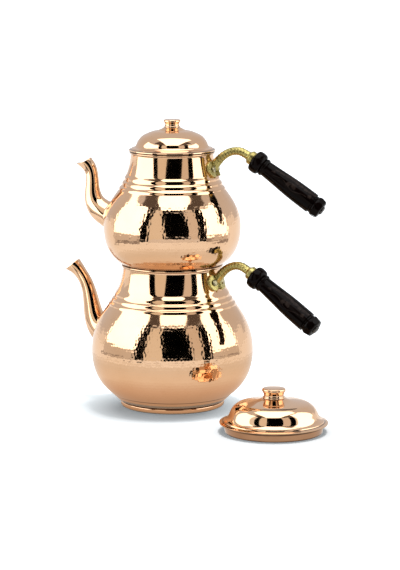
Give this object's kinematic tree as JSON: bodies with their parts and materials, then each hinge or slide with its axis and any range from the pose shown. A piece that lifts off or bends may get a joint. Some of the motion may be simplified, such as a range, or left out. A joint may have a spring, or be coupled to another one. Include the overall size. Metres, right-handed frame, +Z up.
{
  "type": "double teapot",
  "caption": "Hammered copper kettle with a smaller teapot standing in its mouth, curved spouts, dark wood grips on brass brackets, one lid on the teapot and the kettle's lid beside it.",
  "frame": {"origin": "centre of the kettle's base, on the surface it stands on", "axes": "+Z up along the kettle's axis, +X towards the kettle's handle, -X towards its spout"},
  "size_m": [0.343, 0.2025, 0.3038],
  "materials": {
    "hammered_copper": "hand-hammered and polished copper, tinned inside",
    "smooth_copper": "smooth polished copper",
    "cast_brass": "cast yellow brass with a leaf relief, polished",
    "rivet_copper": "round copper rivet heads",
    "dark_wood": "turned wood, stained near black and lacquered",
    "steel": "plain steel rod and screw",
    "nut_metal": "domed nut, darkened"
  },
  "bodies": {
    "kettle": {"kettle_body": "hammered_copper", "kettle_base": "smooth_copper", "kettle_spout": "smooth_copper", "kettle_bracket": "cast_brass", "kettle_rivet_left": "rivet_copper", "kettle_rivet_right": "rivet_copper", "kettle_grip": "dark_wood", "kettle_grip_rod": "steel", "kettle_grip_nut": "nut_metal"},
    "teapot": {"teapot_body": "hammered_copper", "teapot_base": "smooth_copper", "teapot_spout": "smooth_copper", "teapot_bracket": "cast_brass", "teapot_rivet_left": "rivet_copper", "teapot_rivet_right": "rivet_copper", "teapot_grip": "dark_wood", "teapot_grip_rod": "steel", "teapot_grip_nut": "nut_metal"},
    "lid_on_teapot": {"teapot_lid": "smooth_copper", "teapot_lid_collar": "smooth_copper", "teapot_lid_knob": "smooth_copper", "teapot_lid_screw": "steel"},
    "lid_of_kettle": {"kettle_lid": "smooth_copper", "kettle_lid_collar": "smooth_copper", "kettle_lid_knob": "smooth_copper", "kettle_lid_screw": "steel"}
  },
  "joints": [
    {"name": "teapot_lift", "type": "slide", "parent": "kettle", "child": "teapot", "axis": [0, 0, 1], "range_m": [0, 0.06]},
    {"name": "teapot_lid_lift", "type": "slide", "parent": "teapot", "child": "lid_on_teapot", "axis": [0, 0, 1], "range_m": [0, 0.04]},
    {"name": "kettle_lid_lift", "type": "slide", "parent": "kettle", "child": "lid_of_kettle", "axis": [0, 0, 1], "range_m": [0, 0.05]}
  ]
}
